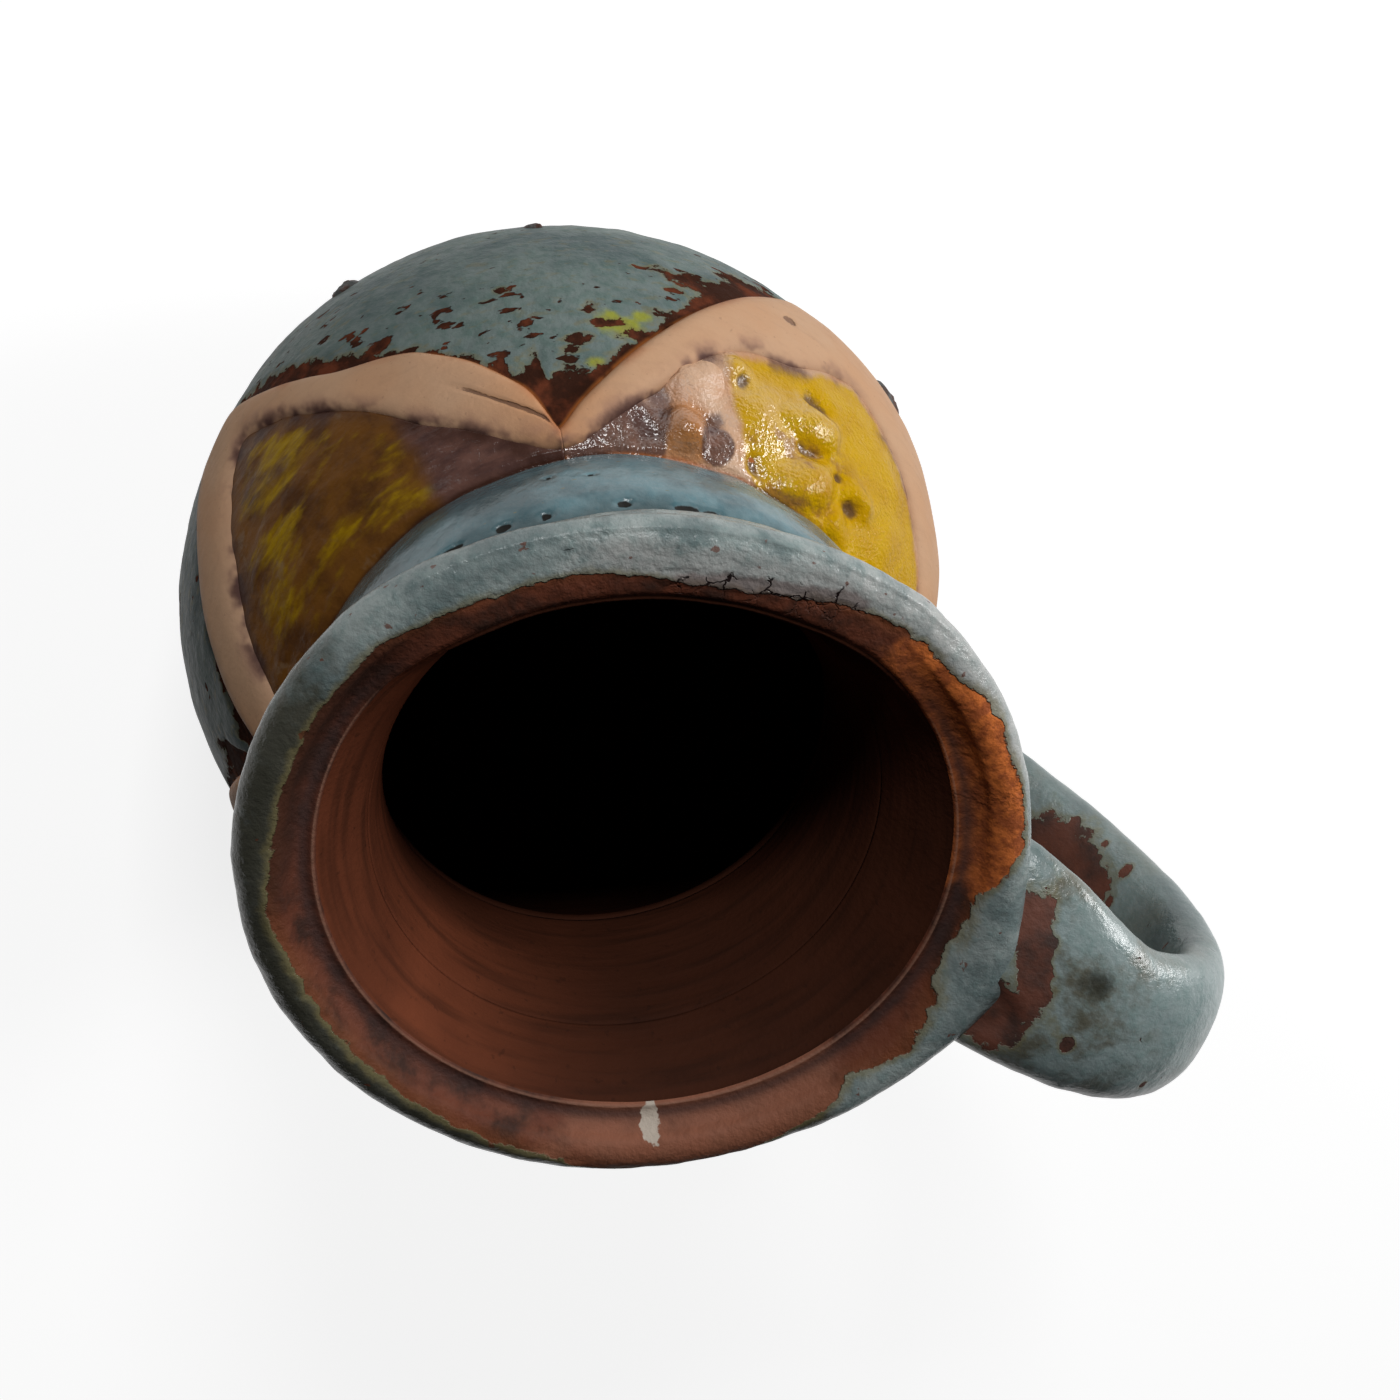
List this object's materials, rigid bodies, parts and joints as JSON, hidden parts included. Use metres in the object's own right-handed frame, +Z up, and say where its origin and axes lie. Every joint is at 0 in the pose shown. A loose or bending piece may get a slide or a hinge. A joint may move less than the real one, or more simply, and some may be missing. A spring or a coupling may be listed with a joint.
{
  "type": "jug",
  "caption": "Round-bellied glazed ceramic jug with a flared lip, a strap handle and an applied zigzag band framing glazed panels on the shoulder, for holding and pouring liquids.",
  "frame": {"origin": "centre of the flat base, on the jug's axis", "axes": "+Z up along the jug's axis, +X towards the handle"},
  "size_m": [0.1549, 0.1185, 0.1301],
  "materials": {
    "blue_glaze": "satin blue-grey glaze with rust specks",
    "collar_glaze": "satin blue glaze",
    "lip_glaze": "grey-blue glaze broken to bare brown clay",
    "beige_clay": "smooth unglazed beige clay with brown stain at the edges",
    "yellow_glaze": "high-gloss yellow glaze",
    "olive_glaze": "brushed olive-yellow glaze over brown stain",
    "pellet_clay": "clay pellets under gloss glaze",
    "dark_clay": "rough dark fired clay"
  },
  "bodies": {
    "root": {"body": "blue_glaze", "neck": "collar_glaze", "lip": "lip_glaze", "handle": "blue_glaze", "handle_foot_coil": "blue_glaze", "band_right": "beige_clay", "band_front": "beige_clay", "band_left": "beige_clay", "band_back": "beige_clay", "panel_right": "yellow_glaze", "panel_front": "olive_glaze", "panel_left": "yellow_glaze", "panel_back": "olive_glaze", "relief_pellets": "pellet_clay", "belly_nubs": "dark_clay"}
  },
  "joints": []
}
